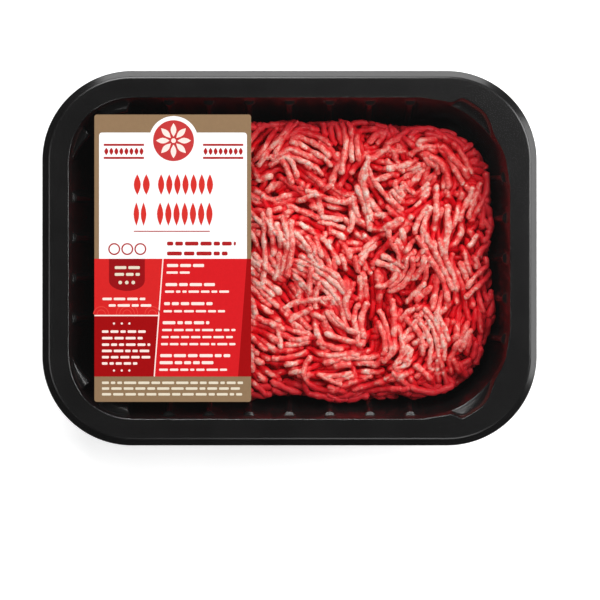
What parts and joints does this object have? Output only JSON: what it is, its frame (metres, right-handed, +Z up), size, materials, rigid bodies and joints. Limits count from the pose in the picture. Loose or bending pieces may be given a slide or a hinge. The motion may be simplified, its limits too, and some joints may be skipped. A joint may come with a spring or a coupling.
{
  "type": "meat tray pack",
  "caption": "Black rounded food tray with ribbed walls, filled with minced beef under a clear sealed film that carries a long paper label.",
  "frame": {"origin": "middle of the underside's standing ring, at the height of the surface it stands on", "axes": "+Z up out of the tray, +X along the long side away from the label's end, +Y along the short side towards the label's top edge"},
  "size_m": [0.19, 0.144, 0.0405],
  "materials": {
    "tray_plastic": "black formed plastic sheet with a soft shine",
    "minced_beef": "fresh raw minced beef, moist, with pale flecks of fat",
    "clear_film": "clear lidding film, tight and glossy",
    "label_paper": "smooth printed label paper, red and white on tan"
  },
  "bodies": {
    "root": {"tray": "tray_plastic", "mince": "minced_beef", "lidding_film": "clear_film", "label": "label_paper"}
  },
  "joints": []
}
